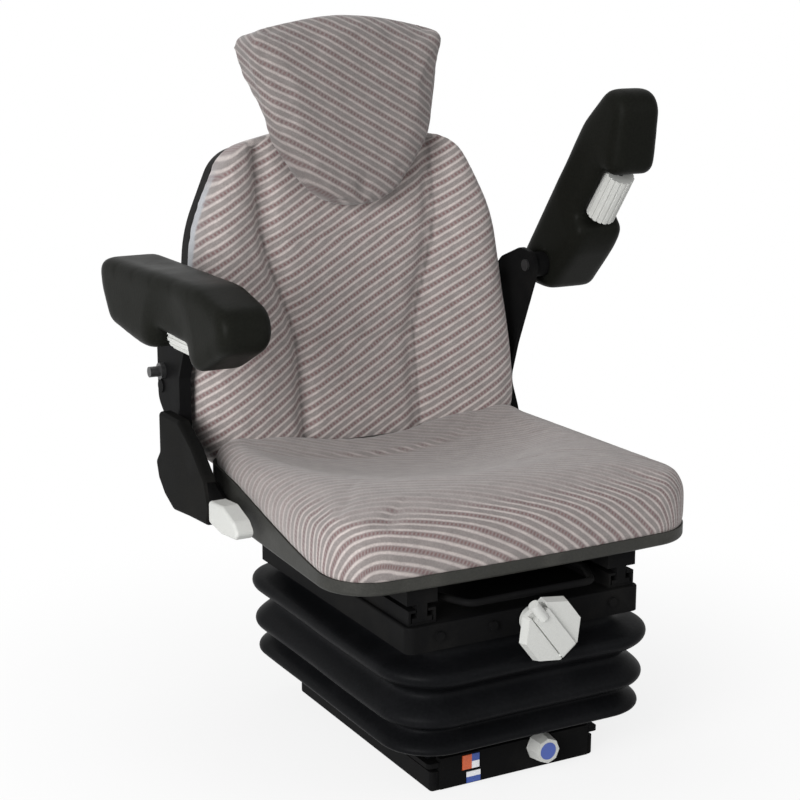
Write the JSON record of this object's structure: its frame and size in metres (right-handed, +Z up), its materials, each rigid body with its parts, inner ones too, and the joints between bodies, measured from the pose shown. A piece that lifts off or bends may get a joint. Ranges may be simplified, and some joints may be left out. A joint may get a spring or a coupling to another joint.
{
  "type": "tractor seat",
  "caption": "Suspended tractor seat with scissor suspension in a bellows, slide rails, striped fabric cushions, reclining back, backrest extension and folding armrests.",
  "frame": {"origin": "centre of the base tray's underside, at the middle of the floor bolts", "axes": "+Z up, front of the seat towards -Y, sitter's left towards +X"},
  "size_m": [0.7006, 0.6183, 0.8886],
  "materials": {
    "black_steel": "satin",
    "steel": "satin",
    "black_plastic": "matte",
    "black_rubber": "satin",
    "pale_plastic": "satin",
    "blue_plastic": "gloss",
    "orange_plastic": "gloss",
    "white_plastic": "gloss",
    "striped_fabric": "woven",
    "arm_foam": "soft gloss"
  },
  "bodies": {
    "base": {"base_tray": "black_steel", "lower_pivot_rod": "steel", "indicator_window": "orange_plastic", "base_tag": "white_plastic", "damper_body": "black_steel", "coil_spring": "steel", "bellows": "black_rubber"},
    "height_knob": {"height_knob": "pale_plastic", "height_disc": "blue_plastic"},
    "outer_scissor": {"outer_scissor_frame": "black_steel", "upper_rollers": "black_plastic", "centre_bolts": "steel"},
    "inner_scissor": {"inner_scissor_frame": "black_steel", "lower_rollers": "black_plastic"},
    "suspension_top": {"upper_frame": "black_steel", "upper_pivot_rod": "steel", "damper_rod": "steel", "preload_housing": "black_steel", "frame_bolts": "steel", "lower_rail_left": "black_steel", "lower_rail_right": "black_steel"},
    "weight_knob": {"weight_knob": "pale_plastic", "weight_spindle": "steel"},
    "knob_crank": {"knob_crank": "pale_plastic"},
    "seat": {"upper_rail_left": "black_steel", "upper_rail_right": "black_steel", "seat_pan": "black_plastic", "seat_cushion": "striped_fabric", "recliner_plate_left": "black_steel", "recliner_plate_right": "black_steel", "recliner_cover": "black_plastic", "recliner_pins": "steel", "lever_pin": "steel", "bow_pins": "black_steel"},
    "slide_release": {"slide_release_bow": "black_steel"},
    "recline_lever": {"recline_lever": "black_steel", "recline_grip": "pale_plastic"},
    "backrest": {"back_cushion": "striped_fabric", "back_shell": "black_plastic", "back_tube_lower": "black_steel", "back_tube_upper": "black_steel", "back_upright_left": "black_steel", "back_upright_right": "black_steel", "arm_pin_left": "steel", "arm_pin_right": "steel", "stop_bolt": "steel", "post_sleeves": "steel"},
    "headrest": {"headrest_cushion": "striped_fabric", "headrest_posts": "steel"},
    "right_armrest": {"arm_pad_right": "arm_foam", "arm_hub_right": "black_steel", "wheel_axle_right": "steel"},
    "left_armrest": {"arm_pad_left": "arm_foam", "arm_hub_left": "black_steel", "wheel_axle_left": "steel"},
    "right_wheel": {"arm_wheel_right": "pale_plastic"},
    "left_wheel": {"arm_wheel_left": "pale_plastic"}
  },
  "joints": [
    {"name": "suspension_travel", "type": "slide", "parent": "base", "child": "suspension_top", "axis": [0, 0, 1], "range_m": [-0.07, 0], "stiffness_N_per_m": 5000, "springref_m": 0.1, "deforming": ["bellows", "coil_spring"]},
    {"name": "outer_scissor_tilt", "type": "hinge", "parent": "base", "child": "outer_scissor", "pos_m": [0, 0.13854, 0.018], "axis": [1, 0, 0], "range_deg": [-1, 17]},
    {"name": "inner_scissor_tilt", "type": "hinge", "parent": "suspension_top", "child": "inner_scissor", "pos_m": [0, 0.13854, 0.203], "axis": [1, 0, 0], "range_deg": [-17, 1]},
    {"name": "height_knob_turn", "type": "hinge", "parent": "base", "child": "height_knob", "pos_m": [0.033, -0.181, 0.031], "axis": [0, -1, 0], "range_deg": [0, 270]},
    {"name": "weight_knob_turn", "type": "hinge", "parent": "suspension_top", "child": "weight_knob", "pos_m": [0.003, -0.239, 0.206], "axis": [0, -1, 0], "continuous": true},
    {"name": "crank_fold", "type": "hinge", "parent": "weight_knob", "child": "knob_crank", "pos_m": [0.02209, -0.25004, 0.18157], "axis": [0.788, 0, 0.6157], "range_deg": [0, 90]},
    {"name": "fore_aft", "type": "slide", "parent": "suspension_top", "child": "seat", "axis": [0, 1, 0], "range_m": [-0.02, 0.13]},
    {"name": "slide_release_lift", "type": "hinge", "parent": "seat", "child": "slide_release", "pos_m": [0, -0.06, 0.241], "axis": [-1, 0, 0], "range_deg": [0, 5], "stiffness_Nm_per_rad": 3, "springref_deg": -8.59},
    {"name": "recline_lever_lift", "type": "hinge", "parent": "seat", "child": "recline_lever", "pos_m": [-0.27, 0.168, 0.291], "axis": [-1, 0, 0], "range_deg": [0, 15], "stiffness_Nm_per_rad": 2, "springref_deg": -17.19},
    {"name": "backrest_recline", "type": "hinge", "parent": "seat", "child": "backrest", "pos_m": [0, 0.236, 0.318], "axis": [1, 0, 0], "range_deg": [-20, 4]},
    {"name": "headrest_slide", "type": "slide", "parent": "backrest", "child": "headrest", "axis": [0, 0.1392, 0.9903], "range_m": [0, 0.06]},
    {"name": "right_armrest_fold", "type": "hinge", "parent": "backrest", "child": "right_armrest", "pos_m": [-0.28, 0.198, 0.548], "axis": [-1, 0, 0], "range_deg": [0, 95]},
    {"name": "left_armrest_fold", "type": "hinge", "parent": "backrest", "child": "left_armrest", "pos_m": [0.28, 0.198, 0.548], "axis": [-1, 0, 0], "range_deg": [-54, 41]},
    {"name": "right_wheel_turn", "type": "hinge", "parent": "right_armrest", "child": "right_wheel", "pos_m": [-0.308, 0.05, 0.524], "axis": [0, -1, 0], "continuous": true},
    {"name": "left_wheel_turn", "type": "hinge", "parent": "left_armrest", "child": "left_wheel", "pos_m": [0.308, 0.09159, 0.65363], "axis": [0, -0.5878, 0.809], "continuous": true}
  ],
  "couplings": [
    {"joint": "outer_scissor_tilt", "follows": "suspension_travel", "rad_per_m": -3.8743},
    {"joint": "inner_scissor_tilt", "follows": "suspension_travel", "rad_per_m": 3.8743}
  ]
}
